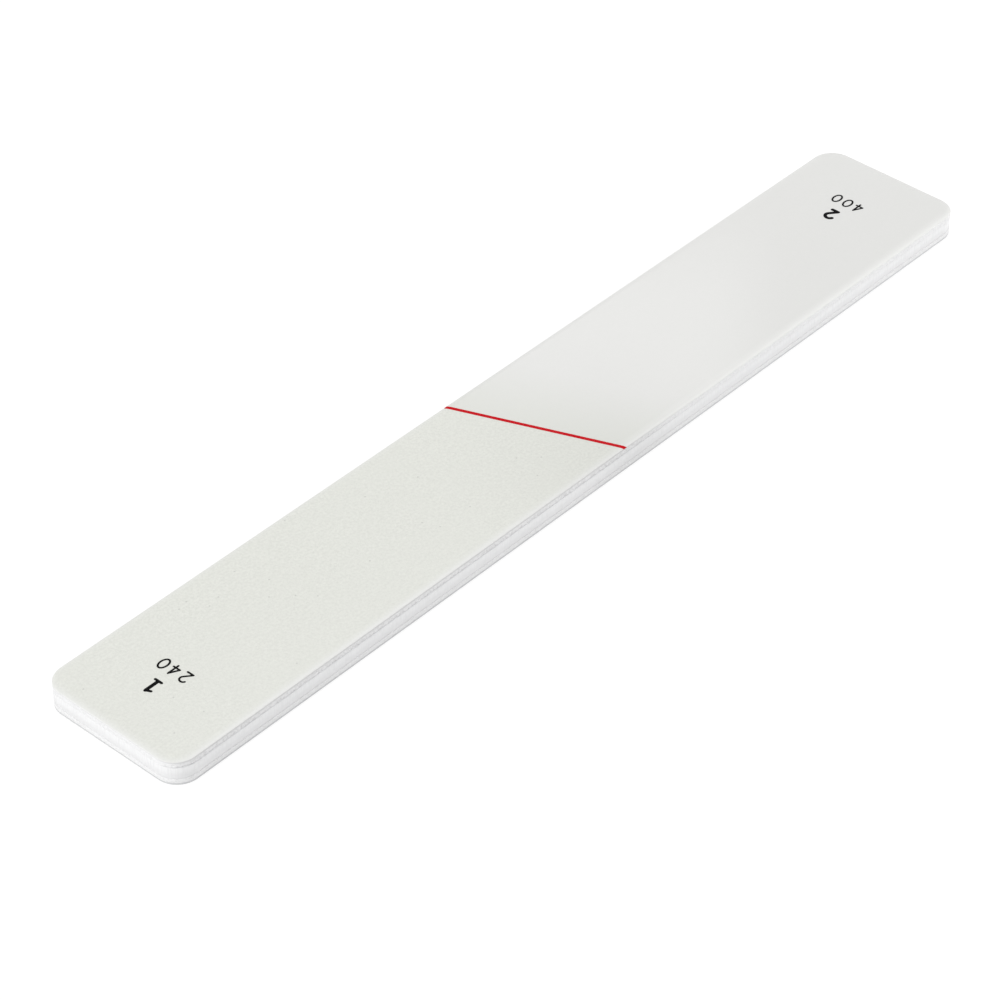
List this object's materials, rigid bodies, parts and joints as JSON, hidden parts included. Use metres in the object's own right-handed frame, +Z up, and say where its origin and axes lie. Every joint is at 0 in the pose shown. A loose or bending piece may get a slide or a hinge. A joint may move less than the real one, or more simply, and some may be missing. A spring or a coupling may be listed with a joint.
{
  "type": "nail polishing file",
  "caption": "Flat nail file with rounded corners: foam-cushioned abrasive sheets on a stiff core, each face parted by a slanting divider line, for shaping, buffing and polishing nails.",
  "frame": {"origin": "middle of the underside: the centre of the bottom of the bounding box", "axes": "+X along the board's length, from the step 1 end to the step 2 end; +Y across its width; +Z up, out of the upper face"},
  "size_m": [0.178, 0.027, 0.0043],
  "materials": {
    "core_plastic": "bright white plastic board, satin along its die-cut edge",
    "foam": "white closed-cell foam, matt, with a rough cut edge",
    "glue_film": "thin clear-white adhesive film",
    "backing_paper": "white waterproof backing paper",
    "shaping_grit": "warm off-white mineral grit in resin, visibly grained",
    "buffing_grit": "neutral off-white fine grit, almost smooth",
    "smoothing_grit": "pale grey very fine grit",
    "polishing_film": "light grey satin polishing film",
    "red_ink": "red screen-printed ink",
    "black_ink": "black screen-printed ink"
  },
  "bodies": {
    "root": {"core_board": "core_plastic", "upper_core_glue": "glue_film", "lower_core_glue": "glue_film", "upper_foam": "foam", "lower_foam": "foam", "shaping_sheet_glue": "glue_film", "buffing_sheet_glue": "glue_film", "smoothing_sheet_glue": "glue_film", "polishing_sheet_glue": "glue_film", "shaping_backing_paper": "backing_paper", "buffing_backing_paper": "backing_paper", "smoothing_backing_paper": "backing_paper", "polishing_backing_paper": "backing_paper", "shaping_coat": "shaping_grit", "buffing_coat": "buffing_grit", "smoothing_coat": "smoothing_grit", "polishing_coat": "polishing_film", "upper_divider_line": "red_ink", "lower_divider_line": "red_ink", "numeral_1": "black_ink", "numeral_2": "black_ink", "numeral_3": "black_ink", "numeral_4": "black_ink"}
  },
  "joints": []
}
